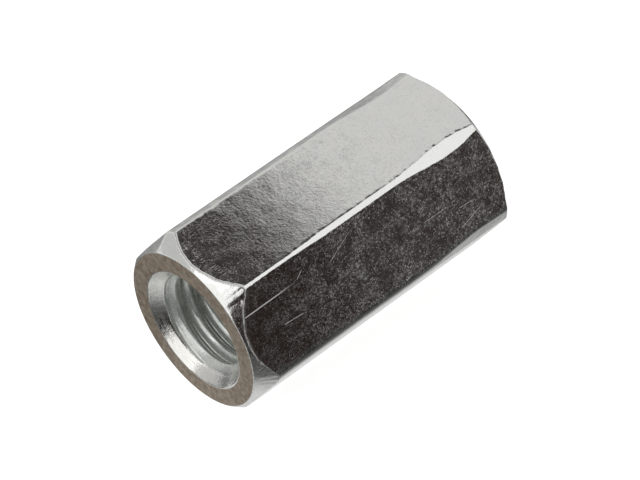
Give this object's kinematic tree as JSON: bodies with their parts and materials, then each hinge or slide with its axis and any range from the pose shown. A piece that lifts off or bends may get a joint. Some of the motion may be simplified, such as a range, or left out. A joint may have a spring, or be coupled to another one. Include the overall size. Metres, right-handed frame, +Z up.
{
  "type": "coupling nut",
  "caption": "Long hexagonal steel nut with a through thread, countersunk mouths and chamfered ends, for joining two threaded rods end to end.",
  "frame": {"origin": "on the bore's axis, halfway along the nut", "axes": "+X along the bore towards the far end, +Z up, square to the flat that faces up; the nut lies on the flat that faces -Z"},
  "size_m": [0.036, 0.0216, 0.019],
  "materials": {
    "zinc_plate": "bright zinc plate, tumbled, with fine dents and scratches"
  },
  "bodies": {
    "root": {"coupling_nut": "zinc_plate"}
  },
  "joints": []
}
